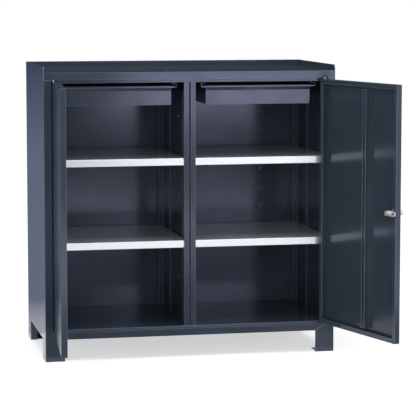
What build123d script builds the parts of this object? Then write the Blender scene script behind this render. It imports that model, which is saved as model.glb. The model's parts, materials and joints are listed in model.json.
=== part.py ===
from build123d import *
import math
import os

os.makedirs("parts", exist_ok=True)

# Free-standing steel tool cupboard, millimetres.
# Origin: centre of the footprint on the floor. Front faces -Y, +Z is up.
# Stored as seen: both doors open, both drawers shut.

# Overall and sheet
width = 1000.0
depth = 500.0
worktop_z = 970.0
sheet = 1.2
thin = 1.0
rim_height = 20.0
rim_radius = 13.0
wall_hem = 12.0

# Front frame
rail_face = 24.0
post_face = 24.5
stop_set = 26.0
stop_lap = 11.5
stop_drop = 12.0
stop_seat = 8.0
sill_top = 98.0
sill_bottom = 74.0
sill_lip = 15.0
sill_seat = 14.0
floor_top = 103.0
floor_flange = 17.0

# Feet
foot_width = 65.5
foot_depth = 75.0
foot_return = 22.0
skirt_z = 70.0
sole_size = 60.0
sole_thick = 3.0
sole_gap = 0.3
anchor_r = 5.0

# Rear flanges
rear_flange = 16.0

# Divider
divider_width = 40.0
groove = 6.0
divider_set = 30.0
spacer_depth = 24.0
front_spacer_set = 50.0
rear_spacer_set = 80.0

# Slotted strips that carry the shelves, set in from the front and from the back
strip_width = 20.0
strip_depth = 4.0
strip_drop = 15.0
strip_front_set = 135.0
strip_rear_set = 133.0
slot_step = 70.0
slot_first = 165.0
slot_length = 10.0
slot_height = 4.0

# Shelves and their clips
shelf_tops = (395.0, 676.0)
shelf_lip = 24.0
shelf_return = 14.0
shelf_set = 34.0
shelf_back_gap = 8.0
shelf_side_gap = 0.3
clip_sheet = 1.5
clip_width = 16.0
clip_head = 8.0
clip_tongue = 12.0
clip_tab = 6.0

# Drawers
drawer_x = 242.0
drawer_width = 364.0
drawer_tray_height = 60.0
drawer_front_drop = 2.0
drawer_fold_drop = 14.0
drawer_lip_rise = 3.5
drawer_lip_out = 14.0
drawer_set = 55.0
drawer_rear_gap = 43.8
drawer_side_in = 1.5
drawer_back_drop = 6.0
wing_rise = 3.0
wing_width = 17.0
lip_hem = 5.0

# Drawer runners
runner_set = 46.0
runner_rear_gap = 32.8
runner_play = 0.8
runner_drop = 55.0
runner_height = 13.0
runner_flange = 16.0
slide_gap = 0.3
glide_length = 30.0
glide_width = 11.0
hanger_length = 26.0
hanger_flange = 14.0
hanger_set = 44.0
hanger_rear_set = 30.0

# Doors
door_thick = 20.0
door_sill_gap = 3.0
door_rail_gap = 4.5
post_gap = 2.5
meeting_gap = 3.0
door_lip = 15.0
fold_radius = 2.0
hinge_back = 5.0
hinge_in = 7.0
left_open_angle = 94.5
right_open_angle = 106.0
pin_r = 2.5
pin_out = 13.5
pin_fit = 0.05
pin_head_r = 3.0
pin_head = 6.0
pivot_clearance = 0.3
washer_r = 4.6
washer_gap = 0.3
stiffener_a = 267.0
stiffener_width = 25.0
stiffener_mouth = 8.0
stiffener_end = 22.75
buffer_size = 6.0
buffer_spots = (120.0, 400.0)
buffer_gap = 0.3

# Shoot bolt on the left door
bolt_r = 4.0
bolt_inset = 30.0
bolt_back = 11.0
bolt_length = 110.0
bolt_throw = 12.0
bolt_clearance = 0.6
guide_drops = (24.0, 84.0)
guide_size = 16.0
guide_height = 12.0
bolt_knob_r = 5.0
bolt_knob_out = 10.0

# Knob lock on the right door
lock_inset = 36.0
lock_z = 525.0
rosette_r = 12.5
rosette_thick = 1.5
sleeve_r = 7.5
sleeve_back = 23.7
ring_nut_af = 22.0
ring_nut = 4.5
spindle_r = 5.0
spindle_gap = 0.3
knob_r = 9.5
neck_r = 6.5
knob_neck = 12.0
knob_proud = 28.0
knob_round = 2.5
key_slot = 6.0
key_slot_width = 1.6
key_slot_depth = 3.0
cam_front = 24.0
cam_thick = 2.5
cam_width = 18.0
cam_reach = 41.0
cam_slot_length = 12.0
cam_slot_width = 6.5
cam_fit = 0.05
cam_stud_r = 3.0
cam_bush_r = 5.6
cam_bush = 5.0
cam_nut_af = 15.0
cam_nut = 4.0

# Derived places
hx = width / 2
yf = -depth / 2
yb = depth / 2
height = worktop_z + rim_height
rail_bottom = worktop_z - rail_face
inner_x = hx - sheet
inner_back = yb - sheet
post_x = hx - post_face
stop_x = post_x - stop_lap
stop_y = yf + stop_set
foot_x = hx - foot_width
sole_x = inner_x - sole_gap - sole_size / 2
sole_y = yf + sheet + sole_gap + sole_size / 2
runner_y = yf + runner_set
runner_length = inner_back - runner_rear_gap - runner_y
runner_bottom = worktop_z - runner_drop
wing_z = runner_bottom + wing_rise
drawer_bottom = wing_z - drawer_tray_height
drawer_top = wing_z + drawer_lip_rise
drawer_depth = inner_back - drawer_rear_gap - (yf + drawer_set)
strip_top = runner_bottom - strip_drop
divider_y = yf + divider_set
door_bottom = sill_top + door_sill_gap
door_top = rail_bottom - door_rail_gap
wall_x = groove / 2 + sheet
hinge_x = post_x - post_gap - hinge_in
hinge_y = yf + hinge_back
door_width = post_x - post_gap - meeting_gap / 2
door_height = door_top - door_bottom
stiffener_height = door_height - 2 * stiffener_end
door_mid = (door_top + door_bottom) / 2
free_edge = door_width - hinge_in
outer_b = -hinge_back
inner_b = door_thick - hinge_back
bay_left = wall_x
bay_right = inner_x


def folded(plane, points, side, thickness=sheet, bend=Kind.INTERSECTION):
    """Face of a folded sheet that follows one side of a line of points."""
    with BuildSketch(plane) as section:
        with BuildLine():
            Polyline(*points)
            offset(amount=thickness, side=side, kind=bend)
        make_face()
    return section.sketch


# Left side panel: skin, rounded rim, hems, rear flange and the two foot returns
with BuildPart() as left_side_panel:
    with BuildSketch(Plane.YZ.offset(-hx)) as side_outline:
        with BuildLine():
            Polyline(
                (yf + sheet, 0),
                (yf + foot_depth, 0),
                (yf + foot_depth, skirt_z),
                (yb - foot_depth, skirt_z),
                (yb - foot_depth, 0),
                (inner_back, 0),
                (inner_back, height),
                (yf, height),
                (yf, rail_bottom),
                (yf + sheet, rail_bottom),
                close=True,
            )
        make_face()
        fillet(side_outline.vertices().group_by(Axis.Y)[-1].sort_by(Axis.X)[0], rim_radius)
    extrude(amount=sheet)
    with BuildSketch(Plane.YZ.offset(-inner_x)) as rim_outline:
        with Locations((yf + sheet, worktop_z - sheet)):
            Rectangle(inner_back - yf - 2 * sheet, rim_height + sheet, align=(Align.MIN, Align.MIN))
        fillet(rim_outline.vertices().group_by(Axis.Y)[-1].sort_by(Axis.X)[0], rim_radius - sheet)
        with Locations((0, skirt_z + wall_hem / 2)):
            Rectangle(depth - 2 * foot_depth - 4 * sheet, wall_hem)
    extrude(amount=sheet)
    with BuildSketch(Plane.XY):
        for edge_y in (yf + foot_depth - sheet / 2, yb - foot_depth + sheet / 2):
            with Locations((-hx + foot_return / 2, edge_y)):
                Rectangle(foot_return, sheet)
    extrude(amount=skirt_z)
    with BuildSketch(Plane.XY.offset(floor_top)):
        with Locations((-inner_x, inner_back)):
            Rectangle(rear_flange, sheet, align=(Align.MIN, Align.MAX))
    extrude(amount=worktop_z - 2 * sheet - floor_top)
left_side_panel.part.label = "left_side_panel"
export_step(left_side_panel.part, "parts/left_side_panel.step")

with BuildPart() as right_side_panel:
    mirror(left_side_panel.part, about=Plane.YZ)
right_side_panel.part.label = "right_side_panel"
export_step(right_side_panel.part, "parts/right_side_panel.step")

# Back panel: one sheet with the rear feet and a hemmed rim
with BuildPart() as back_panel:
    with BuildSketch(Plane.XZ.offset(-yb)):
        with BuildLine():
            Polyline(
                (-hx, 0),
                (-foot_x, 0),
                (-foot_x, sill_bottom),
                (foot_x, sill_bottom),
                (foot_x, 0),
                (hx, 0),
                (hx, height),
                (-hx, height),
                close=True,
            )
        make_face()
    extrude(amount=sheet)
    with BuildSketch(Plane.XZ.offset(-inner_back)):
        with Locations((0, worktop_z - sheet)):
            Rectangle(2 * (inner_x - sheet), rim_height + sheet, align=(Align.CENTER, Align.MIN))
        with Locations((0, sill_bottom + wall_hem / 2)):
            Rectangle(2 * foot_x, wall_hem)
    extrude(amount=sheet)
back_panel.part.label = "back_panel"
export_step(back_panel.part, "parts/back_panel.step")

# Worktop: top sheet turned down into the front rail, with a ledge that takes pins and bolt
bolt_x = -(hinge_x - (free_edge - bolt_inset))
bolt_y = hinge_y + bolt_back - hinge_back
with BuildPart() as worktop:
    worktop_path = (
        (inner_back - sheet, worktop_z),
        (yf, worktop_z),
        (yf, rail_bottom),
        (stop_y, rail_bottom),
    )
    worktop_side = inner_x - sheet
    extrude(folded(Plane.YZ.offset(-worktop_side), worktop_path, Side.LEFT), amount=2 * worktop_side)
    with BuildSketch(Plane.XZ.offset(-yf)):
        with Locations((0, rail_bottom)):
            Rectangle(2 * inner_x, rail_face, align=(Align.CENTER, Align.MIN))
    extrude(amount=-sheet)
    with Locations((-hinge_x, hinge_y, rail_bottom), (hinge_x, hinge_y, rail_bottom)):
        Cylinder(pin_r + pivot_clearance, 4 * sheet, mode=Mode.SUBTRACT)
    with Locations((bolt_x, bolt_y, rail_bottom)):
        Cylinder(bolt_r + bolt_clearance, 4 * sheet, mode=Mode.SUBTRACT)
worktop.part.label = "worktop"
export_step(worktop.part, "parts/worktop.step")

# Stop strip that the top edges of the doors close against
with BuildPart() as door_stop_strip:
    strip_path = (
        (stop_y, rail_bottom - stop_drop),
        (stop_y, rail_bottom + sheet),
        (stop_y - stop_seat, rail_bottom + sheet),
    )
    extrude(folded(Plane.YZ.offset(-stop_x), strip_path, Side.RIGHT), amount=2 * stop_x)
door_stop_strip.part.label = "door_stop_strip"
export_step(door_stop_strip.part, "parts/door_stop_strip.step")

# Front post: face and foot in one sheet, return and stop flange behind the door edge
with BuildPart() as left_front_post:
    with BuildSketch(Plane.XZ.offset(-yf)):
        with BuildLine():
            Polyline(
                (-hx, 0),
                (-foot_x, 0),
                (-foot_x, sill_bottom),
                (-post_x, sill_top),
                (-post_x, rail_bottom),
                (-hx, rail_bottom),
                close=True,
            )
        make_face()
    extrude(amount=-sheet)
    with BuildSketch(Plane.XY.offset(sill_top)):
        with Locations((-post_x, yf)):
            Rectangle(sheet, stop_set, align=(Align.MAX, Align.MIN))
    extrude(amount=floor_top - sill_top)
    post_path = ((-post_x - sheet, yf), (-post_x - sheet, stop_y + sheet), (-stop_x, stop_y + sheet))
    extrude(folded(Plane.XY.offset(floor_top), post_path, Side.RIGHT), amount=rail_bottom - floor_top)
left_front_post.part.label = "left_front_post"
export_step(left_front_post.part, "parts/left_front_post.step")

with BuildPart() as right_front_post:
    mirror(left_front_post.part, about=Plane.YZ)
right_front_post.part.label = "right_front_post"
export_step(right_front_post.part, "parts/right_front_post.step")

# Sill: mitred front rail below the doors, folded back to a ledge, a step and the floor seat
with BuildPart() as sill:
    with BuildSketch(Plane.XZ.offset(-yf)):
        with BuildLine():
            Polyline(
                (-foot_x, sill_bottom),
                (foot_x, sill_bottom),
                (post_x, sill_top),
                (-post_x, sill_top),
                close=True,
            )
        make_face()
    extrude(amount=-sheet)
    ledge_path = (
        (yf + sheet, sill_top),
        (stop_y, sill_top),
        (stop_y, floor_top - sheet),
        (stop_y + sill_seat, floor_top - sheet),
    )
    extrude(folded(Plane.YZ.offset(-post_x), ledge_path, Side.RIGHT), amount=2 * post_x)
    lip_path = ((yf + sheet, sill_bottom), (yf + sill_lip, sill_bottom))
    extrude(folded(Plane.YZ.offset(-foot_x), lip_path, Side.LEFT), amount=2 * foot_x)
    with Locations((-hinge_x, hinge_y, sill_top), (hinge_x, hinge_y, sill_top)):
        Cylinder(pin_r + pivot_clearance, 4 * sheet, mode=Mode.SUBTRACT)
sill.part.label = "sill"
export_step(sill.part, "parts/sill.step")

# Floor panel with flanges turned down along both sides
with BuildPart() as floor_panel:
    with BuildSketch(Plane.XY.offset(floor_top)):
        with Locations((0, inner_back)):
            Rectangle(2 * inner_x, inner_back - stop_y, align=(Align.CENTER, Align.MAX))
    extrude(amount=-sheet)
    floor_path = (
        (-inner_x, floor_top - floor_flange),
        (-inner_x, floor_top),
        (inner_x, floor_top),
        (inner_x, floor_top - floor_flange),
    )
    floor_back = Plane.XZ.offset(-inner_back)
    flange_run = inner_back - stop_y - sill_seat - sheet
    extrude(folded(floor_back, floor_path, Side.RIGHT), amount=flange_run)
floor_panel.part.label = "floor_panel"
export_step(floor_panel.part, "parts/floor_panel.step")

# Sole plates inside the four feet, each with an anchor hole
with BuildPart() as foot_sole_plates:
    with GridLocations(2 * sole_x, -2 * sole_y, 2, 2):
        Box(sole_size, sole_size, sole_thick, align=(Align.CENTER, Align.CENTER, Align.MIN))
    with GridLocations(2 * sole_x, -2 * sole_y, 2, 2):
        Cylinder(anchor_r, 4 * sole_thick, mode=Mode.SUBTRACT)
foot_sole_plates.part.label = "foot_sole_plates"
export_step(foot_sole_plates.part, "parts/foot_sole_plates.step")

# Divider: two channels back to back with an open groove between their front faces
divider_top = worktop_z - sheet
with BuildPart() as divider_left_wall:
    wall_path = (
        (-divider_width / 2, divider_y),
        (-groove / 2, divider_y),
        (-groove / 2, inner_back),
        (-divider_width / 2, inner_back),
    )
    wall_face = folded(Plane.XY.offset(floor_top), wall_path, Side.LEFT)
    extrude(wall_face, amount=divider_top - floor_top)
divider_left_wall.part.label = "divider_left_wall"
export_step(divider_left_wall.part, "parts/divider_left_wall.step")

with BuildPart() as divider_right_wall:
    mirror(divider_left_wall.part, about=Plane.YZ)
divider_right_wall.part.label = "divider_right_wall"
export_step(divider_right_wall.part, "parts/divider_right_wall.step")


def divider_spacer(name, front_y):
    """Channel that keeps the two divider walls a groove apart, with its web at y=front_y."""
    with BuildPart() as spacer:
        spacer_path = (
            (-groove / 2, front_y + spacer_depth),
            (-groove / 2, front_y),
            (groove / 2, front_y),
            (groove / 2, front_y + spacer_depth),
        )
        spacer_face = folded(Plane.XY.offset(floor_top), spacer_path, Side.LEFT)
        extrude(spacer_face, amount=divider_top - floor_top)
    spacer.part.label = name
    export_step(spacer.part, f"parts/{name}.step")


divider_spacer("divider_front_spacer", yf + front_spacer_set)
divider_spacer("divider_rear_spacer", yb - rear_spacer_set)


def support_strip(name, wall, into, run_y):
    """Slotted channel on a wall at x=wall, standing out in the direction into (+1 or -1)."""
    crest = wall + into * strip_depth
    with BuildPart() as strip:
        strip_line = (
            (wall, run_y - strip_width / 2),
            (crest, run_y - strip_width / 2),
            (crest, run_y + strip_width / 2),
            (wall, run_y + strip_width / 2),
        )
        inward = Side.LEFT if into > 0 else Side.RIGHT
        extrude(folded(Plane.XY.offset(floor_top), strip_line, inward, thin), amount=strip_top - floor_top)
        slot_rows = int((strip_top - slot_first) // slot_step) + 1
        slot_mid = slot_first + slot_step * (slot_rows - 1) / 2
        with Locations((crest, run_y, slot_mid)):
            with Locations(Location((0, 0, 0), (0, 90, 0))):
                with GridLocations(slot_step, strip_width, slot_rows, 1):
                    Box(slot_height, slot_length, 4 * thin, mode=Mode.SUBTRACT)
    strip.part.label = name
    export_step(strip.part, f"parts/{name}.step")


strip_rows = (("front", yf + strip_front_set), ("rear", yb - strip_rear_set))
for row_name, row_y in strip_rows:
    support_strip(f"left_side_{row_name}_strip", -inner_x, 1, row_y)
    support_strip(f"left_divider_{row_name}_strip", -wall_x, -1, row_y)
    support_strip(f"right_divider_{row_name}_strip", wall_x, 1, row_y)
    support_strip(f"right_side_{row_name}_strip", inner_x, -1, row_y)

# Shelf clips: plate on the strip, tab through a slot, tongue under the shelf
clip_sites = []
for wall, into in ((-inner_x, 1), (-wall_x, -1), (wall_x, 1), (inner_x, -1)):
    for row_name, row_y in strip_rows:
        for shelf_top in shelf_tops:
            clip_sites.append((wall + into * strip_depth, into, row_y, shelf_top - shelf_lip))
with BuildPart() as shelf_clips:
    for crest, into, row_y, seat_z in clip_sites:
        slot_z = slot_first + slot_step * round((seat_z - slot_first) / slot_step)
        plate = (Align.MIN if into > 0 else Align.MAX, Align.CENTER, Align.MIN)
        with Locations((crest, row_y, seat_z - clip_sheet)):
            Box(clip_sheet, clip_width, slot_z - seat_z + clip_sheet + clip_head, align=plate)
            Box(clip_sheet + clip_tongue, clip_width, clip_sheet, align=plate)
        with Locations((crest - into * (strip_depth - thin) / 2, row_y, slot_z)):
            Box(strip_depth - thin, clip_tab, slot_height - 2 * slide_gap)
shelf_clips.part.label = "shelf_clips"
export_step(shelf_clips.part, "parts/shelf_clips.step")

# Shelves: inverted trays with a return under every edge
shelf_margin = strip_depth + clip_sheet + shelf_side_gap
shelf_width = inner_x - wall_x - 2 * shelf_margin
shelf_depth = inner_back - shelf_back_gap - (yf + shelf_set)
shelf_x = (inner_x + wall_x) / 2
shelf_y = yf + shelf_set + shelf_depth / 2


def shelf(name, centre_x, top_z):
    """Pressed tray shelf, open below."""
    with BuildPart() as tray:
        with BuildSketch(Plane.XY.offset(top_z - shelf_lip)):
            with Locations((centre_x, shelf_y)):
                Rectangle(shelf_width, shelf_depth)
        extrude(amount=shelf_lip)
        fillet(tray.edges().group_by(Axis.Z)[-1].filter_by(Axis.X), fold_radius)
        offset(amount=-thin, openings=tray.faces().sort_by(Axis.Z)[0])
        with BuildSketch(Plane.XY.offset(top_z - shelf_lip)):
            with Locations((centre_x, shelf_y)):
                Rectangle(shelf_width, shelf_depth)
                Rectangle(shelf_width - 2 * shelf_return, shelf_depth - 2 * shelf_return, mode=Mode.SUBTRACT)
        extrude(amount=thin)
    tray.part.label = name
    export_step(tray.part, f"parts/{name}.step")


for level, top_z in zip(("lower", "upper"), shelf_tops):
    shelf(f"left_{level}_shelf", -shelf_x, top_z)
    shelf(f"right_{level}_shelf", shelf_x, top_z)

# Drawer runners: channels hung below the worktop, open towards the drawer
tray_half = drawer_width / 2 - drawer_side_in
runner_web = tray_half + wing_width + runner_play


def runner(name, centre_x, into):
    """Channel beside a drawer; into is the direction from the web to the drawer."""
    web = centre_x - into * (runner_web + sheet)
    tip = web + into * runner_flange
    with BuildPart() as channel:
        channel_path = (
            (tip, runner_bottom),
            (web, runner_bottom),
            (web, runner_bottom + runner_height),
            (tip, runner_bottom + runner_height),
        )
        inward = Side.RIGHT if into > 0 else Side.LEFT
        extrude(folded(Plane.XZ.offset(-runner_y), channel_path, inward), amount=-runner_length)
    channel.part.label = name
    export_step(channel.part, f"parts/{name}.step")


for side_name, centre_x in (("left", -drawer_x), ("right", drawer_x)):
    runner(f"{side_name}_drawer_left_runner", centre_x, 1)
    runner(f"{side_name}_drawer_right_runner", centre_x, -1)

# Hangers that carry the runners from the underside of the worktop
hanger_sites = []
hanger_rows = (runner_y + hanger_set, runner_y + runner_length - hanger_rear_set - hanger_length)
for centre_x in (-drawer_x, drawer_x):
    for into in (1, -1):
        for start_y in hanger_rows:
            hanger_sites.append((centre_x - into * (runner_web + sheet), into, start_y))
with BuildPart() as runner_hangers:
    for web, into, start_y in hanger_sites:
        low = runner_bottom + runner_height
        hanger_path = (
            (web + into * hanger_flange, low),
            (web, low),
            (web, divider_top),
            (web + into * hanger_flange, divider_top),
        )
        inward = Side.RIGHT if into > 0 else Side.LEFT
        extrude(folded(Plane.XZ.offset(-start_y), hanger_path, inward), amount=-hanger_length)
runner_hangers.part.label = "runner_hangers"
export_step(runner_hangers.part, "parts/runner_hangers.step")

# Low-friction pads at the front of the runners, just under the drawer wings
with BuildPart() as runner_pads:
    for centre_x in (-drawer_x, drawer_x):
        for into in (1, -1):
            pad_x = centre_x - into * (tray_half + wing_width / 2)
            with Locations((pad_x, runner_y + glide_length / 2, runner_bottom + sheet)):
                pad_height = wing_z - slide_gap - runner_bottom - sheet
                Box(glide_width, glide_length, pad_height, align=(Align.CENTER, Align.CENTER, Align.MIN))
runner_pads.part.label = "runner_pads"
export_step(runner_pads.part, "parts/runner_pads.step")


def drawer(side_name, centre_x):
    """Drawer tray with outward wings, folded grip front and rear glides."""
    front_y = yf + drawer_set
    tray_y = front_y + sheet
    back_y = front_y + drawer_depth
    with BuildPart() as tray:
        tray_path = (
            (centre_x - tray_half - wing_width, wing_z),
            (centre_x - tray_half, wing_z),
            (centre_x - tray_half, drawer_bottom),
            (centre_x + tray_half, drawer_bottom),
            (centre_x + tray_half, wing_z),
            (centre_x + tray_half + wing_width, wing_z),
        )
        extrude(folded(Plane.XZ.offset(-tray_y), tray_path, Side.LEFT, thin), amount=tray_y - back_y)
        with BuildSketch(Plane.XZ.offset(-back_y)):
            with Locations((centre_x, drawer_bottom)):
                back_height = wing_z - drawer_back_drop - drawer_bottom
                Rectangle(2 * tray_half, back_height, align=(Align.CENTER, Align.MIN))
        extrude(amount=thin)
    tray.part.label = f"{side_name}_drawer_tray"
    export_step(tray.part, f"parts/{side_name}_drawer_tray.step")

    with BuildPart() as front:
        lip_y = front_y - drawer_lip_out
        front_path = (
            (front_y, drawer_bottom - drawer_front_drop),
            (front_y, wing_z - drawer_fold_drop),
            (lip_y + sheet, drawer_top - sheet),
            (lip_y + sheet, drawer_top - sheet - lip_hem),
        )
        front_plane = Plane.YZ.offset(centre_x - drawer_width / 2)
        extrude(folded(front_plane, front_path, Side.RIGHT, sheet, Kind.ARC), amount=drawer_width)
    front.part.label = f"{side_name}_drawer_front"
    export_step(front.part, f"parts/{side_name}_drawer_front.step")

    with BuildPart() as glides:
        for into in (1, -1):
            glide_x = centre_x - into * (tray_half + wing_width)
            glide_bottom = runner_bottom + sheet + slide_gap
            glide_top = runner_bottom + runner_height - sheet - slide_gap
            outward = Align.MIN if into > 0 else Align.MAX
            with Locations((glide_x, back_y, glide_bottom)):
                Box(glide_width, glide_length, glide_top - glide_bottom, align=(outward, Align.MAX, Align.MIN))
            with Locations((glide_x, back_y, wing_z)):
                Box(glide_width, glide_length, thin, align=(outward, Align.MAX, Align.MIN), mode=Mode.SUBTRACT)
    glides.part.label = f"{side_name}_drawer_glides"
    export_step(glides.part, f"parts/{side_name}_drawer_glides.step")


drawer("left", -drawer_x)
drawer("right", drawer_x)


def door_frame(hand, opened):
    """Plane on a door's hinge axis: x runs to the free edge, y into the cupboard when shut."""
    turn = math.radians(opened)
    along = (-hand * math.cos(turn), -math.sin(turn), 0)
    return Plane(origin=(hand * hinge_x, hinge_y, door_mid), x_dir=along, z_dir=(0, 0, -hand))


def door(side_name, hand, opened):
    """Door pan with returned lips; hand is -1 on the left and +1 on the right."""
    frame = door_frame(hand, opened)
    with BuildPart(frame) as pan:
        with Locations((-hinge_in, outer_b, 0)):
            Box(door_width, door_thick, door_height, align=(Align.MIN, Align.MIN, Align.CENTER))
        local = pan.faces().sort_by(Axis(frame.origin, frame.y_dir))
        fillet(local[0].edges(), fold_radius)
        inner_face = pan.faces().sort_by(Axis(frame.origin, frame.y_dir))[-1]
        offset(amount=-sheet, openings=inner_face)
        lip_plane = Plane(
            origin=frame.from_local_coords((door_width / 2 - hinge_in, inner_b, 0)),
            x_dir=frame.x_dir,
            z_dir=frame.y_dir,
        )
        with BuildSketch(lip_plane):
            Rectangle(door_width, door_height)
            Rectangle(door_width - 2 * door_lip, door_height - 2 * door_lip, mode=Mode.SUBTRACT)
        extrude(amount=-sheet)
        for end in (-1, 1):
            with Locations((0, 0, end * door_height / 2)):
                Cylinder(pin_r + pin_fit, 4 * sheet, mode=Mode.SUBTRACT)
        if hand < 0:
            with Locations((free_edge - bolt_inset, bolt_back - hinge_back, door_height / 2)):
                Cylinder(bolt_r + bolt_clearance, 4 * sheet, mode=Mode.SUBTRACT)
        else:
            with Locations(Location((free_edge - lock_inset, outer_b, door_mid - lock_z), (90, 0, 0))):
                Cylinder(sleeve_r + pin_fit, 4 * sheet, mode=Mode.SUBTRACT)
    pan.part.label = f"{side_name}_door_panel"
    export_step(pan.part, f"parts/{side_name}_door_panel.step")

    with BuildPart() as stiffener:
        half = stiffener_width / 2
        mouth = stiffener_mouth / 2
        web_b = outer_b + sheet
        crest_b = inner_b - sheet
        lipped_path = (
            (stiffener_a - mouth, crest_b),
            (stiffener_a - half, crest_b),
            (stiffener_a - half, web_b),
            (stiffener_a + half, web_b),
            (stiffener_a + half, crest_b),
            (stiffener_a + mouth, crest_b),
        )
        foot_plane = frame.offset(-stiffener_height / 2)
        extrude(folded(foot_plane, lipped_path, Side.LEFT, thin), amount=stiffener_height)
    stiffener.part.label = f"{side_name}_door_stiffener"
    export_step(stiffener.part, f"parts/{side_name}_door_stiffener.step")

    with BuildPart(frame) as pins:
        for end in (-1, 1):
            with Locations((0, 0, end * (door_height / 2 + (pin_out - sheet) / 2))):
                Cylinder(pin_r, pin_out + sheet)
            with Locations((0, 0, end * (door_height / 2 - sheet - pin_head / 2))):
                Cylinder(pin_head_r, pin_head)
    pins.part.label = f"{side_name}_door_hinge_pins"
    export_step(pins.part, f"parts/{side_name}_door_hinge_pins.step")

    with BuildPart() as buffers:
        buffer_length = stop_set - door_thick - buffer_gap
        buffer_z = rail_bottom - stop_drop + (door_top - rail_bottom + stop_drop) / 2
        for spot in buffer_spots:
            buffer_plane = Plane(
                origin=frame.from_local_coords((spot, inner_b, -hand * (buffer_z - door_mid))),
                z_dir=frame.y_dir,
            )
            with BuildSketch(buffer_plane):
                Rectangle(buffer_size, buffer_size)
            extrude(amount=buffer_length)
    buffers.part.label = f"{side_name}_door_buffers"
    export_step(buffers.part, f"parts/{side_name}_door_buffers.step")
    return frame


left_frame = door_frame(-1, left_open_angle)
right_frame = door_frame(1, right_open_angle)
door("left", -1, left_open_angle)
door("right", 1, right_open_angle)

# Thrust washers under the lower hinge pins
with BuildPart() as hinge_washers:
    with Locations((-hinge_x, hinge_y, sill_top), (hinge_x, hinge_y, sill_top)):
        washer_thick = door_bottom - sill_top - washer_gap
        Cylinder(washer_r, washer_thick, align=(Align.CENTER, Align.CENTER, Align.MIN))
        Cylinder(pin_r + pivot_clearance, 3 * washer_thick, mode=Mode.SUBTRACT)
hinge_washers.part.label = "hinge_washers"
export_step(hinge_washers.part, "parts/hinge_washers.step")

# Shoot bolt with a finger knob, and the two guides that hold it inside the left door
bolt_a = free_edge - bolt_inset
bolt_b = bolt_back - hinge_back
bolt_top = door_height / 2 - sheet
with BuildPart(left_frame) as left_door_bolt:
    with Locations((bolt_a, bolt_b, bolt_top)):
        Cylinder(bolt_r, bolt_length, align=(Align.CENTER, Align.CENTER, Align.MAX))
    knob_plane = Plane(
        origin=left_frame.from_local_coords((bolt_a, bolt_b, bolt_top - sum(guide_drops) / 2)),
        z_dir=left_frame.y_dir,
    )
    with BuildSketch(knob_plane):
        Circle(bolt_knob_r)
    extrude(amount=bolt_knob_out)
left_door_bolt.part.label = "left_door_bolt"
export_step(left_door_bolt.part, "parts/left_door_bolt.step")

with BuildPart(left_frame) as bolt_guides:
    for drop in guide_drops:
        with Locations((bolt_a, outer_b + sheet, bolt_top - drop)):
            guide_reach = bolt_b + guide_size / 2 - outer_b - sheet
            Box(guide_size, guide_reach, guide_height, align=(Align.CENTER, Align.MIN, Align.CENTER))
        with Locations((bolt_a, bolt_b, bolt_top - drop)):
            Cylinder(bolt_r + pivot_clearance, 2 * guide_height, mode=Mode.SUBTRACT)
bolt_guides.part.label = "bolt_guides"
export_step(bolt_guides.part, "parts/bolt_guides.step")

# Knob lock: planes run along the spindle, from the outer skin inwards
lock_a = free_edge - lock_inset
lock_high = -(lock_z - door_mid)


def lock_plane(back):
    """Plane across the spindle, back behind the outer skin, x to the free edge."""
    return Plane(
        origin=right_frame.from_local_coords((lock_a, outer_b + back, lock_high)),
        x_dir=right_frame.x_dir,
        z_dir=right_frame.y_dir,
    )


with BuildPart() as lock_rosette:
    with BuildSketch(lock_plane(0)):
        Circle(rosette_r)
        Circle(sleeve_r + pin_fit, mode=Mode.SUBTRACT)
    extrude(amount=-rosette_thick)
lock_rosette.part.label = "lock_rosette"
export_step(lock_rosette.part, "parts/lock_rosette.step")

with BuildPart() as lock_barrel:
    with BuildSketch(lock_plane(-rosette_thick)):
        Circle(sleeve_r)
        Circle(spindle_r + spindle_gap, mode=Mode.SUBTRACT)
    extrude(amount=rosette_thick + sleeve_back)
lock_barrel.part.label = "lock_barrel"
export_step(lock_barrel.part, "parts/lock_barrel.step")

with BuildPart() as lock_ring_nut:
    with BuildSketch(lock_plane(sheet)):
        RegularPolygon(ring_nut_af / 2, 6, major_radius=False)
        Circle(sleeve_r + pin_fit, mode=Mode.SUBTRACT)
    extrude(amount=ring_nut)
lock_ring_nut.part.label = "lock_ring_nut"
export_step(lock_ring_nut.part, "parts/lock_ring_nut.step")

# Turning knob: chrome head with a key slot, neck, spindle through the barrel and threaded tail
cam_back = cam_front + cam_thick
nut_front = cam_back + cam_bush
with BuildPart() as lock_knob:
    with BuildSketch(lock_plane(-knob_neck)):
        Circle(knob_r)
    extrude(amount=knob_neck - knob_proud)
    knob_ends = lock_knob.faces().sort_by(Axis(lock_plane(0).origin, right_frame.y_dir))
    chamfer(knob_ends[0].edges() + knob_ends[-1].edges(), knob_round)
    with BuildSketch(lock_plane(-knob_proud)):
        Rectangle(key_slot_width, key_slot)
    extrude(amount=key_slot_depth, mode=Mode.SUBTRACT)
    with BuildSketch(lock_plane(-rosette_thick - spindle_gap)):
        Circle(neck_r)
    extrude(amount=rosette_thick + spindle_gap - knob_neck)
    with BuildSketch(lock_plane(-rosette_thick - spindle_gap)):
        Circle(spindle_r)
    extrude(amount=cam_front + rosette_thick + spindle_gap)
    with BuildSketch(lock_plane(cam_front)):
        Circle(cam_stud_r)
    extrude(amount=nut_front + cam_nut + thin - cam_front)
lock_knob.part.label = "lock_knob"
export_step(lock_knob.part, "parts/lock_knob.step")

with BuildPart() as lock_cam:
    with BuildSketch(lock_plane(cam_front)):
        slot_span = cam_reach - cam_width / 2
        SlotCenterPoint((slot_span / 2, 0), (slot_span, 0), cam_width)
        Circle(cam_stud_r + cam_fit, mode=Mode.SUBTRACT)
        with Locations((slot_span - cam_slot_length / 4, 0)):
            SlotOverall(cam_slot_length, cam_slot_width, mode=Mode.SUBTRACT)
    extrude(amount=cam_thick)
lock_cam.part.label = "lock_cam"
export_step(lock_cam.part, "parts/lock_cam.step")

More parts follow.
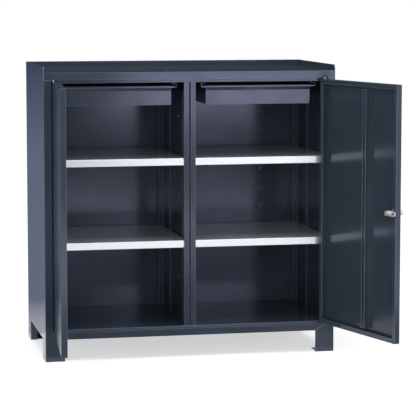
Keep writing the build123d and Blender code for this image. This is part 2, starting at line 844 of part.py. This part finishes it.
with BuildPart() as lock_cam_bush:
    with BuildSketch(lock_plane(cam_back)):
        Circle(cam_bush_r)
        Circle(cam_stud_r + cam_fit, mode=Mode.SUBTRACT)
    extrude(amount=cam_bush)
lock_cam_bush.part.label = "lock_cam_bush"
export_step(lock_cam_bush.part, "parts/lock_cam_bush.step")

with BuildPart() as lock_cam_nut:
    with BuildSketch(lock_plane(nut_front)):
        RegularPolygon(cam_nut_af / 2, 6, major_radius=False)
        Circle(cam_stud_r + cam_fit, mode=Mode.SUBTRACT)
    extrude(amount=cam_nut)
lock_cam_nut.part.label = "lock_cam_nut"
export_step(lock_cam_nut.part, "parts/lock_cam_nut.step")
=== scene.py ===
import json
import math

import bmesh
import bpy
from mathutils import Matrix, Vector


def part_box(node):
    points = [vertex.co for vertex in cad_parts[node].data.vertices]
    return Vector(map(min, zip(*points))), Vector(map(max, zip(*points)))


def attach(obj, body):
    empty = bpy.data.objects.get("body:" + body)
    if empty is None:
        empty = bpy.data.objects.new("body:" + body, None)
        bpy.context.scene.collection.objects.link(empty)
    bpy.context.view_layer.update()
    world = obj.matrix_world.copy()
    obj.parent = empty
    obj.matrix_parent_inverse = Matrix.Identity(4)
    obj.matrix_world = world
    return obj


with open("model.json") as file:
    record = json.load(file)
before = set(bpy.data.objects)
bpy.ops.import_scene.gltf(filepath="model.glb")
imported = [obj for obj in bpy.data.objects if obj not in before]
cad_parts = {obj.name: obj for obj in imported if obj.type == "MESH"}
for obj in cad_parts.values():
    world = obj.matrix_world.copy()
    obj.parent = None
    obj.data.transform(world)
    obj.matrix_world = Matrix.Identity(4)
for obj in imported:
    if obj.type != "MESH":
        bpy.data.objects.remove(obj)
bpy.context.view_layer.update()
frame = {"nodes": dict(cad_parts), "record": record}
scene = bpy.context.scene
nodes = frame["nodes"]

MM = 0.001
WHITE = (1.0, 1.0, 1.0)

# Colours of the finishes, linear
PAINT = (0.034, 0.047, 0.061)
# Lighter tone along folds and edges: a painted highlight
PAINT_EDGE_HIGHLIGHT = (0.24, 0.28, 0.40)
PAINT_GLOSS = (0.72, 0.74, 1.0)
ZINC_SHEET = (0.92, 0.93, 0.95)
ZINC_SHEET_DARK = (0.89, 0.90, 0.92)
ZINC_SHEET_LIGHT = (0.94, 0.95, 0.965)
ZINC_PLATE = (0.88, 0.89, 0.90)
CHROME = (0.80, 0.79, 0.77)
BRASS = (0.86, 0.72, 0.42)
GLIDE_PLASTIC = (0.42, 0.42, 0.42)
RUBBER = (0.03, 0.04, 0.05)
RIVET_STEEL = (0.30, 0.33, 0.37)
# Near-black painted shade in the rivets' ring grooves
RIVET_GROOVE_SHADE = (0.004, 0.005, 0.006)

# Noise values lie mostly between these two
NOISE_SPAN = (0.3, 0.7)
FULL_SPAN = (0.0, 1.0)

# Radii over which edges look rounded, and the wider one along which the paint gets a painted highlight in a
# lighter tone
SHEET_EDGE = 1.2 * MM
PART_EDGE = 0.4 * MM
MOULDED_EDGE = 0.3 * MM
EDGE_HIGHLIGHT_REACH = 2.2 * MM
EDGE_HIGHLIGHT_BEND = (0.02, 0.22)  # 1 minus the bend's cosine, where the painted edge highlight starts and is full

# A Mix node keeps its colour sockets behind those for numbers and vectors
MIX_FACTOR = 0
MIX_FIRST = 6
MIX_SECOND = 7
MIX_RESULT = 2


# Helpers for colours and shader nodes
def opaque(colour):
    return (*colour, 1.0)


def scaled(colour, share):
    return tuple(min(1.0, part * share) for part in colour)


def new_tree(name):
    """A material whose node tree is empty."""
    mat = bpy.data.materials.new(name)
    mat.use_nodes = True
    mat.node_tree.nodes.clear()
    return mat, mat.node_tree


def make_material(name, base, metallic, roughness, ior=1.5):
    """A Principled material whose constant values sit on the shader itself."""
    mat = bpy.data.materials.new(name)
    mat.use_nodes = True
    tree = mat.node_tree
    shader = tree.nodes["Principled BSDF"]
    shader.inputs["Base Color"].default_value = opaque(base)
    shader.inputs["Metallic"].default_value = metallic
    shader.inputs["Roughness"].default_value = roughness
    shader.inputs["IOR"].default_value = ior
    return mat, tree, shader


def object_coords(tree):
    return tree.nodes.new("ShaderNodeTexCoord").outputs["Object"]


def noise(tree, coords, scale, detail=2.0, rough=0.5, stretch=None):
    """Noise value over the object's own metres, stretched where asked."""
    tex = tree.nodes.new("ShaderNodeTexNoise")
    tex.inputs["Scale"].default_value = scale
    tex.inputs["Detail"].default_value = detail
    tex.inputs["Roughness"].default_value = rough
    if stretch:
        mapping = tree.nodes.new("ShaderNodeMapping")
        mapping.inputs["Scale"].default_value = stretch
        tree.links.new(coords, mapping.inputs["Vector"])
        coords = mapping.outputs["Vector"]
    tree.links.new(coords, tex.inputs["Vector"])
    return tex.outputs["Fac"]


def spread(tree, value, span, out):
    """Maps the span low..high of a value to out low..high, clamped."""
    node = tree.nodes.new("ShaderNodeMapRange")
    node.inputs["From Min"].default_value, node.inputs["From Max"].default_value = span
    node.inputs["To Min"].default_value, node.inputs["To Max"].default_value = out
    tree.links.new(value, node.inputs["Value"])
    return node.outputs["Result"]


def tint(tree, value, dark, light):
    """Colour that runs from dark to light as value goes from 0 to 1."""
    ramp = tree.nodes.new("ShaderNodeValToRGB")
    ramp.color_ramp.elements[0].color = opaque(dark)
    ramp.color_ramp.elements[1].color = opaque(light)
    tree.links.new(value, ramp.inputs["Fac"])
    return ramp.outputs["Color"]


def over(tree, factor, colour, top):
    """Colour that goes over to a fixed one as the factor rises to 1."""
    mix = tree.nodes.new("ShaderNodeMix")
    mix.data_type = "RGBA"
    tree.links.new(factor, mix.inputs[MIX_FACTOR])
    tree.links.new(colour, mix.inputs[MIX_FIRST])
    mix.inputs[MIX_SECOND].default_value = opaque(top)
    return mix.outputs[MIX_RESULT]


def rounded_edges(tree, radius, samples=4):
    """Normals that bend softly over folds and edges."""
    node = tree.nodes.new("ShaderNodeBevel")
    node.samples = samples
    node.inputs["Radius"].default_value = radius
    return node.outputs["Normal"]


def edge_highlight_mask(tree, radius):
    """0 on flat sheet, rising to 1 along folds and cut edges, where the paint gets its painted highlight."""
    facet = tree.nodes.new("ShaderNodeNewGeometry")
    likeness = tree.nodes.new("ShaderNodeVectorMath")
    likeness.operation = "DOT_PRODUCT"
    tree.links.new(rounded_edges(tree, radius, samples=8), likeness.inputs[0])
    tree.links.new(facet.outputs["True Normal"], likeness.inputs[1])
    bend = tree.nodes.new("ShaderNodeMath")
    bend.operation = "SUBTRACT"
    bend.inputs[0].default_value = 1.0
    tree.links.new(likeness.outputs["Value"], bend.inputs[1])
    return spread(tree, bend.outputs["Value"], EDGE_HIGHLIGHT_BEND, FULL_SPAN)


def bump(tree, height, strength, distance, normal):
    node = tree.nodes.new("ShaderNodeBump")
    node.inputs["Strength"].default_value = strength
    node.inputs["Distance"].default_value = distance
    tree.links.new(height, node.inputs["Height"])
    tree.links.new(normal, node.inputs["Normal"])
    return node.outputs["Normal"]


# One function for each kind of finish
def powder_coat(name):
    """Glossy powder coat: faint orange peel, uneven colour and gloss, soft edges with a painted highlight in
    a lighter tone.
    """
    roughness = 0.14
    mat, tree, shader = make_material(name, PAINT, metallic=0.0, roughness=roughness, ior=1.6)
    shader.inputs["Specular Tint"].default_value = opaque(PAINT_GLOSS)
    coords = object_coords(tree)
    patches = spread(tree, noise(tree, coords, scale=3.5, detail=3.0), NOISE_SPAN, FULL_SPAN)
    tone = tint(tree, patches, scaled(PAINT, 0.90), scaled(PAINT, 1.10))
    # Painted highlight: the base colour goes over to a lighter tone along folds and edges
    edge_highlighted = over(tree, edge_highlight_mask(tree, EDGE_HIGHLIGHT_REACH), tone, PAINT_EDGE_HIGHLIGHT)
    tree.links.new(edge_highlighted, shader.inputs["Base Color"])
    haze = noise(tree, coords, scale=11.0, detail=4.0, rough=0.55)
    gloss = spread(tree, haze, NOISE_SPAN, (roughness - 0.025, roughness + 0.03))
    tree.links.new(gloss, shader.inputs["Roughness"])
    peel = noise(tree, coords, scale=320.0, detail=1.0)
    surface = bump(tree, peel, strength=0.05, distance=0.1 * MM, normal=rounded_edges(tree, SHEET_EDGE))
    tree.links.new(surface, shader.inputs["Normal"])
    return mat


def galvanised(name):
    """Zinc-coated sheet: low-contrast spangle cells, long faint rolling streaks in tone and gloss."""
    mat, tree, shader = make_material(name, ZINC_SHEET, metallic=0.70, roughness=0.21)
    coords = object_coords(tree)
    cells = tree.nodes.new("ShaderNodeTexVoronoi")
    cells.inputs["Scale"].default_value = 120.0
    cells.inputs["Randomness"].default_value = 1.0
    tree.links.new(coords, cells.inputs["Vector"])
    split = tree.nodes.new("ShaderNodeSeparateColor")
    tree.links.new(cells.outputs["Color"], split.inputs["Color"])
    streak = noise(tree, coords, scale=5.0, detail=3.0, rough=0.55, stretch=(1.0, 26.0, 26.0))
    mixed = tree.nodes.new("ShaderNodeMath")
    mixed.operation = "MULTIPLY_ADD"
    tree.links.new(split.outputs["Red"], mixed.inputs[0])
    mixed.inputs[1].default_value = 0.35
    tree.links.new(streak, mixed.inputs[2])
    mixed_span = (0.45, 0.95)
    shade = spread(tree, mixed.outputs["Value"], mixed_span, FULL_SPAN)
    tree.links.new(tint(tree, shade, ZINC_SHEET_DARK, ZINC_SHEET_LIGHT), shader.inputs["Base Color"])
    gloss = spread(tree, mixed.outputs["Value"], mixed_span, (0.20, 0.225))
    tree.links.new(gloss, shader.inputs["Roughness"])
    surface = bump(tree, streak, strength=0.02, distance=0.1 * MM, normal=rounded_edges(tree, SHEET_EDGE))
    tree.links.new(surface, shader.inputs["Normal"])
    return mat


def plated(name, base, roughness, metallic):
    """Plated small part: bright, with a soft cloudiness."""
    mat, tree, shader = make_material(name, base, metallic, roughness)
    coords = object_coords(tree)
    cloud = noise(tree, coords, scale=140.0, detail=3.0, rough=0.6)
    tone = tint(tree, cloud, scaled(base, 0.85), scaled(base, 1.12))
    tree.links.new(tone, shader.inputs["Base Color"])
    gloss = spread(tree, cloud, NOISE_SPAN, (roughness - 0.07, roughness + 0.07))
    tree.links.new(gloss, shader.inputs["Roughness"])
    grain = noise(tree, coords, scale=700.0, detail=1.0)
    surface = bump(tree, grain, strength=0.06, distance=0.1 * MM, normal=rounded_edges(tree, PART_EDGE))
    tree.links.new(surface, shader.inputs["Normal"])
    return mat


def turned(name, base, roughness):
    """Polished or turned metal with faint tool marks and finger haze."""
    mat, tree, shader = make_material(name, base, metallic=1.0, roughness=roughness)
    coords = object_coords(tree)
    haze = noise(tree, coords, scale=90.0, detail=4.0, rough=0.6)
    gloss = spread(tree, haze, (0.35, 0.7), (roughness, roughness + 0.08))
    tree.links.new(gloss, shader.inputs["Roughness"])
    marks = noise(tree, coords, scale=1500.0, detail=1.0)
    surface = bump(tree, marks, strength=0.04, distance=0.05 * MM, normal=rounded_edges(tree, PART_EDGE))
    tree.links.new(surface, shader.inputs["Normal"])
    return mat


def moulded(name, base, roughness):
    """Moulded plastic or rubber with a fine spark texture."""
    mat, tree, shader = make_material(name, base, metallic=0.0, roughness=roughness)
    coords = object_coords(tree)
    tone = tint(tree, noise(tree, coords, scale=40.0), scaled(base, 0.9), base)
    tree.links.new(tone, shader.inputs["Base Color"])
    spark = noise(tree, coords, scale=1100.0, rough=0.7)
    gloss = spread(tree, spark, NOISE_SPAN, (roughness - 0.05, roughness + 0.05))
    tree.links.new(gloss, shader.inputs["Roughness"])
    surface = bump(tree, spark, strength=0.1, distance=0.1 * MM, normal=rounded_edges(tree, MOULDED_EDGE))
    tree.links.new(surface, shader.inputs["Normal"])
    return mat


# Finishes, under the names of the record's material slots
finishes = {
    "powder_coat": powder_coat("powder_coat"),
    "galvanised_shelf": galvanised("galvanised_shelf"),
    "zinc_plated": plated("zinc_plated", ZINC_PLATE, roughness=0.34, metallic=0.72),
    "bright_chrome": turned("bright_chrome", CHROME, roughness=0.06),
    "lock_brass": turned("lock_brass", BRASS, roughness=0.22),
    "glide_plastic": moulded("glide_plastic", GLIDE_PLASTIC, roughness=0.45),
    "buffer_rubber": moulded("buffer_rubber", RUBBER, roughness=0.85),
}


def dress(mesh, finish):
    """Gives every slot of a mesh the same finish, and a mesh without slots one slot."""
    if not mesh.materials:
        mesh.materials.append(finish)
    for index in range(len(mesh.materials)):
        mesh.materials[index] = finish


for part in frame["record"]["subparts"]:
    dress(nodes[part["node"]].data, finishes[part["material_slot"]])

# Rivet heads, seen as small round marks on the back panel and on the divider, with painted shade in their
# ring grooves
RIVET_OUTLINE_MM = [  # radius and height, from the middle of the head's top to its sunk underside
    (0.0, 1.9), (1.6, 1.8), (2.5, 1.4), (3.0, 0.6), (3.2, 0.15), (5.0, 0.15),
    (5.3, 0.5), (5.8, 0.6), (6.4, 0.5), (6.8, 0.0), (6.8, -0.3), (0.0, -0.3),
]
RIVET_SIDES = 32
RIVET_MIDDLE_BANDS = 3
RIVET_GROOVE_BANDS = 2
RIM_SLOT = 0
MIDDLE_SLOT = 1
GROOVE_SLOT = 2

BACK_RIVET_X = 0.357
BACK_RIVET_HEIGHTS = [0.455 + 0.070 * count for count in range(6)]
BACK_RIVET_SCALE = 1.3
DIVIDER_RIVET_HEIGHTS = (0.257, 0.534, 0.813)
DIVIDER_RIVET_DEPTHS = (-0.115, 0.117)
DIVIDER_RIVET_SCALE = 0.55


def rivet_ring(bm, radius, height):
    """Vertices of one ring of the outline, or the single one on the axis."""
    if radius == 0.0:
        return [bm.verts.new((0.0, 0.0, height))]
    angles = [math.tau * count / RIVET_SIDES for count in range(RIVET_SIDES)]
    return [bm.verts.new((radius * math.cos(angle), radius * math.sin(angle), height)) for angle in angles]


def band_slot(band):
    if band < RIVET_MIDDLE_BANDS:
        return MIDDLE_SLOT
    if band < RIVET_MIDDLE_BANDS + RIVET_GROOVE_BANDS:
        return GROOVE_SLOT
    return RIM_SLOT


def rivet_head(name, place, outward, scale, slots):
    """Head with a ring groove, turned about its own axis and set into the sheet.

    slots are the finishes of the rim, of the middle and of the groove; the groove's near-black finish is
    painted shade.
    """
    bm = bmesh.new()
    rings = [rivet_ring(bm, radius * scale * MM, height * scale * MM) for radius, height in RIVET_OUTLINE_MM]
    for band, (upper, lower) in enumerate(zip(rings, rings[1:])):
        for side in range(RIVET_SIDES):
            after = (side + 1) % RIVET_SIDES
            if len(upper) == 1:
                corners = (upper[0], lower[side], lower[after])
            elif len(lower) == 1:
                corners = (upper[after], upper[side], lower[0])
            else:
                corners = (upper[side], lower[side], lower[after], upper[after])
            face = bm.faces.new(corners)
            face.material_index = band_slot(band)
    turn = Vector((0.0, 0.0, 1.0)).rotation_difference(Vector(outward)).to_matrix().to_4x4()
    bmesh.ops.transform(bm, matrix=Matrix.Translation(place) @ turn, verts=bm.verts)
    bmesh.ops.recalc_face_normals(bm, faces=bm.faces)
    for face in bm.faces:
        face.smooth = True
    mesh = bpy.data.meshes.new(name)
    bm.to_mesh(mesh)
    bm.free()
    obj = bpy.data.objects.new(name, mesh)
    scene.collection.objects.link(obj)
    for finish in slots:
        mesh.materials.append(finish)
    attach(obj, "carcass")


steel = plated("rivet_steel", RIVET_STEEL, roughness=0.32, metallic=1.0)
# The ring grooves get a near-black finish: painted shade
groove = moulded("rivet_groove_painted_shade", RIVET_GROOVE_SHADE, roughness=0.8)
back_slots = (finishes["powder_coat"], steel, groove)
divider_slots = (finishes["zinc_plated"], finishes["zinc_plated"], groove)
back_face_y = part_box("back_panel")[0][1]
divider_face_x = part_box("divider_left_wall")[0][0]
for count, height in enumerate(BACK_RIVET_HEIGHTS, start=1):
    rivet_head(f"back_rivet_{count}", (BACK_RIVET_X, back_face_y, height), (0.0, -1.0, 0.0),
               BACK_RIVET_SCALE, back_slots)
for row, height in enumerate(DIVIDER_RIVET_HEIGHTS, start=1):
    for column, depth in enumerate(DIVIDER_RIVET_DEPTHS, start=1):
        rivet_head(f"divider_rivet_{row}_{column}", (divider_face_x, depth, height), (-1.0, 0.0, 0.0),
                   DIVIDER_RIVET_SCALE, divider_slots)


def seen_rays(tree):
    """1 for rays that show the background: camera, glossy and transmission."""
    path = tree.nodes.new("ShaderNodeLightPath")
    value = path.outputs["Is Camera Ray"]
    for ray in ("Is Glossy Ray", "Is Transmission Ray"):
        most = tree.nodes.new("ShaderNodeMath")
        most.operation = "MAXIMUM"
        tree.links.new(value, most.inputs[0])
        tree.links.new(path.outputs[ray], most.inputs[1])
        value = most.outputs["Value"]
    return value


# Floor: pale, keeps the object's shadow; its lift towards the background's white grows with distance
FLOOR_SIZE = 60.0
FLOOR_DARK = (0.85, 0.85, 0.85)
FLOOR_LIGHT = (0.89, 0.89, 0.89)
LIFT_REACH = (0.7, 4.5)
LIFT_STRENGTH = (0.54, 0.68)


def pale_floor(name):
    mat, tree = new_tree(name)
    out = tree.nodes.new("ShaderNodeOutputMaterial")
    diffuse = tree.nodes.new("ShaderNodeBsdfDiffuse")
    glow = tree.nodes.new("ShaderNodeEmission")
    lift = tree.nodes.new("ShaderNodeMath")
    total = tree.nodes.new("ShaderNodeAddShader")
    reach = tree.nodes.new("ShaderNodeVectorMath")
    coords = object_coords(tree)
    tone = tint(tree, noise(tree, coords, scale=1.3, detail=3.0), FLOOR_DARK, FLOOR_LIGHT)
    tree.links.new(tone, diffuse.inputs["Color"])
    reach.operation = "LENGTH"
    tree.links.new(coords, reach.inputs[0])
    lift.operation = "MULTIPLY"
    tree.links.new(seen_rays(tree), lift.inputs[0])
    tree.links.new(spread(tree, reach.outputs["Value"], LIFT_REACH, LIFT_STRENGTH), lift.inputs[1])
    tree.links.new(lift.outputs["Value"], glow.inputs["Strength"])
    tree.links.new(diffuse.outputs["BSDF"], total.inputs[0])
    tree.links.new(glow.outputs["Emission"], total.inputs[1])
    tree.links.new(total.outputs["Shader"], out.inputs["Surface"])
    return mat


bpy.ops.mesh.primitive_plane_add(size=FLOOR_SIZE, location=(0.0, 0.0, 0.0))
floor = bpy.context.object
floor.name = "studio_floor"
floor.data.materials.append(pale_floor("studio_floor"))

# Grey cards, seen by reflections alone, give the gloss something darker than the background to mirror; their
# greys, which change along each card, are painted shade of the studio around the cupboard
CARD_TOP = 2.2
CARD_LIFT = 0.003
BACK_X = (-3.2, 2.6)
BACK_Y = 1.02
BACK_FOOT_Y = 0.28
FRONT_Y = -4.62
FRONT_LEFT_X = (-1.7, 0.5)
FRONT_RIGHT_X = (0.5, 3.2)
WINDOW_BOTTOM = 0.42
WINDOW_TOP = 0.87
FOOT_FAR_Y = -2.3
FOOT_NEAR_Y = -0.31
FOOT_LEFT_X = (-1.2, 0.40)
FOOT_RIGHT_X = (0.40, 1.5)


def card_paint(name, axis, stops):
    """Matt card whose grey follows one coordinate, as painted shade of the studio: stops are (place,
    colour).
    """
    mat, tree = new_tree(name)
    out = tree.nodes.new("ShaderNodeOutputMaterial")
    diffuse = tree.nodes.new("ShaderNodeBsdfDiffuse")
    split = tree.nodes.new("ShaderNodeSeparateXYZ")
    ramp = tree.nodes.new("ShaderNodeValToRGB")
    low = stops[0][0]
    high = stops[-1][0]
    tree.links.new(object_coords(tree), split.inputs["Vector"])
    tree.links.new(spread(tree, split.outputs[axis], (low, high), FULL_SPAN), ramp.inputs["Fac"])
    for place, colour in stops[1:-1]:
        ramp.color_ramp.elements.new((place - low) / (high - low)).color = opaque(colour)
    ramp.color_ramp.elements[0].color = opaque(stops[0][1])
    ramp.color_ramp.elements[-1].color = opaque(stops[-1][1])
    tree.links.new(ramp.outputs["Color"], diffuse.inputs["Color"])
    tree.links.new(diffuse.outputs["BSDF"], out.inputs["Surface"])
    return mat


def card(name, corners, mat):
    mesh = bpy.data.meshes.new(name)
    mesh.from_pydata(corners, [], [(0, 1, 2, 3)])
    obj = bpy.data.objects.new(name, mesh)
    scene.collection.objects.link(obj)
    mesh.materials.append(mat)
    obj.visible_camera = False
    obj.visible_shadow = False
    obj.visible_diffuse = False
    obj.visible_transmission = False


def upright_card(name, across, y, bottom, top, stops):
    """Standing card whose grey changes with its height."""
    left, right = across
    corners = [(left, y, bottom), (right, y, bottom), (right, y, top), (left, y, top)]
    card(name, corners, card_paint(name, "Z", stops))


def floor_card(name, across, front, back, stops):
    """Lying card, just above the floor, whose grey changes from front to back."""
    left, right = across
    edge = [(left, front), (right, front), (right, back), (left, back)]
    card(name, [(x, y, CARD_LIFT) for x, y in edge], card_paint(name, "Y", stops))


upright_card("card_back", BACK_X, BACK_Y, 0.0, CARD_TOP, [
    (0.3, (0.275, 0.31, 0.43)),
    (0.6, (0.245, 0.28, 0.40)),
    (0.96, (0.07, 0.09, 0.15)),
    (1.0, (0.012, 0.013, 0.02)),
])
# Painted shade: the floor behind grows darker away from the cupboard, as the gloss mirrors it
floor_card("card_back_foot", BACK_X, BACK_FOOT_Y, BACK_Y, [
    (BACK_FOOT_Y, (0.96, 0.97, 0.99)),
    (0.50, (0.82, 0.85, 0.92)),
    (BACK_Y, (0.32, 0.36, 0.48)),
])
upright_card("card_front", FRONT_LEFT_X, FRONT_Y, CARD_LIFT, CARD_TOP, [
    (CARD_LIFT, (0.21, 0.22, 0.245)),
    (WINDOW_BOTTOM, (0.19, 0.20, 0.225)),
    (CARD_TOP, (0.13, 0.14, 0.19)),
])
upright_card("card_front_low", FRONT_RIGHT_X, FRONT_Y, CARD_LIFT, WINDOW_BOTTOM, [
    (CARD_LIFT, (0.39, 0.40, 0.43)),
    (WINDOW_BOTTOM, (0.37, 0.38, 0.42)),
])
upright_card("card_front_top", FRONT_RIGHT_X, FRONT_Y, WINDOW_TOP, CARD_TOP, [
    (WINDOW_TOP, (0.30, 0.32, 0.36)),
    (CARD_TOP, (0.24, 0.26, 0.30)),
])
# Painted shadow of the cupboard and its open doors on the floor in front, as the gloss mirrors it
floor_card("card_front_right", FOOT_RIGHT_X, FOOT_FAR_Y, FOOT_NEAR_Y, [
    (FOOT_FAR_Y, (0.50, 0.53, 0.58)),
    (-1.3, (0.20, 0.22, 0.26)),
    (-0.8, (0.40, 0.43, 0.48)),
    (-0.5, (0.95, 0.96, 0.98)),
    (FOOT_NEAR_Y, (0.97, 0.97, 0.98)),
])
floor_card("card_front_foot", FOOT_LEFT_X, FOOT_FAR_Y, FOOT_NEAR_Y, [
    (FOOT_FAR_Y, (0.42, 0.45, 0.50)),
    (-1.7, (0.22, 0.24, 0.28)),
    (-0.9, (0.23, 0.25, 0.30)),
    (FOOT_NEAR_Y, (0.34, 0.37, 0.43)),
])

# World: white where it is seen or mirrored, softer as a light
FILL_COLOUR = (0.97, 0.98, 1.0)
FILL_STRENGTH = 0.38


def studio_world(name):
    world = bpy.data.worlds.new(name)
    world.use_nodes = True
    tree = world.node_tree
    tree.nodes.clear()
    out = tree.nodes.new("ShaderNodeOutputWorld")
    seen = tree.nodes.new("ShaderNodeBackground")
    fill = tree.nodes.new("ShaderNodeBackground")
    blend = tree.nodes.new("ShaderNodeMixShader")
    seen.inputs["Color"].default_value = opaque(WHITE)
    seen.inputs["Strength"].default_value = 1.0
    fill.inputs["Color"].default_value = opaque(FILL_COLOUR)
    fill.inputs["Strength"].default_value = FILL_STRENGTH
    tree.links.new(seen_rays(tree), blend.inputs["Fac"])
    tree.links.new(fill.outputs["Background"], blend.inputs[1])
    tree.links.new(seen.outputs["Background"], blend.inputs[2])
    tree.links.new(blend.outputs["Shader"], out.inputs["Surface"])
    return world


scene.world = studio_world("studio")


# Lamps: a strip between the cards, a front one without a highlight, one above and one at the left
def softbox(name, place, target, size, power, colour=WHITE):
    """Rectangular lamp that faces its target; power is in watts."""
    data = bpy.data.lights.new(name, "AREA")
    data.shape = "RECTANGLE"
    data.size, data.size_y = size
    data.energy = power
    data.color = colour
    lamp = bpy.data.objects.new(name, data)
    scene.collection.objects.link(lamp)
    lamp.location = place
    lamp.rotation_euler = (Vector(target) - Vector(place)).to_track_quat("-Z", "Y").to_euler()
    lamp.visible_camera = False
    return lamp


softbox("window_box", place=(1.75, -4.6, 0.69), target=(1.75, 0.0, 0.69), size=(2.5, 0.34), power=7.4,
        colour=(0.97, 0.98, 1.10))
fill_box = softbox("fill_box", place=(-0.3, -5.6, 1.3), target=(0.0, 0.0, 0.5), size=(2.0, 2.0), power=88.0)
fill_box.visible_glossy = False
softbox("top_box", place=(0.0, -0.6, 3.6), target=(0.0, -0.1, 0.5), size=(3.2, 2.4), power=75.0,
        colour=(0.98, 0.99, 1.03))
softbox("side_box", place=(-3.6, -2.6, 2.2), target=(-0.2, -0.2, 0.5), size=(2.0, 2.0), power=35.0,
        colour=(0.97, 0.99, 1.05))

# Camera at the photograph's angle, as fitted to the cupboard's edges in a frame of 416 pixels
FRAME_PIXELS = 416.0
FOCAL_PIXELS = 1919.4
SHIFT_PIXELS = -20.0
SENSOR_MM = 36.0
CAMERA_PLACE = (-1.2762, -6.5733, 1.2441)
CAMERA_LOOKS_DOWN = 5.9
CAMERA_LOOKS_RIGHT = 11.9
CAMERA_REACH = 200.0

camera_data = bpy.data.cameras.new("camera")
camera = bpy.data.objects.new("camera", camera_data)
scene.collection.objects.link(camera)
camera_data.sensor_width = SENSOR_MM
camera_data.lens = FOCAL_PIXELS / FRAME_PIXELS * SENSOR_MM
camera_data.shift_y = SHIFT_PIXELS / FRAME_PIXELS
camera_data.clip_end = CAMERA_REACH
camera.location = CAMERA_PLACE
camera.rotation_euler = (math.radians(90.0 - CAMERA_LOOKS_DOWN), 0.0, math.radians(-CAMERA_LOOKS_RIGHT))
scene.camera = camera
scene.view_settings.view_transform = "Standard"
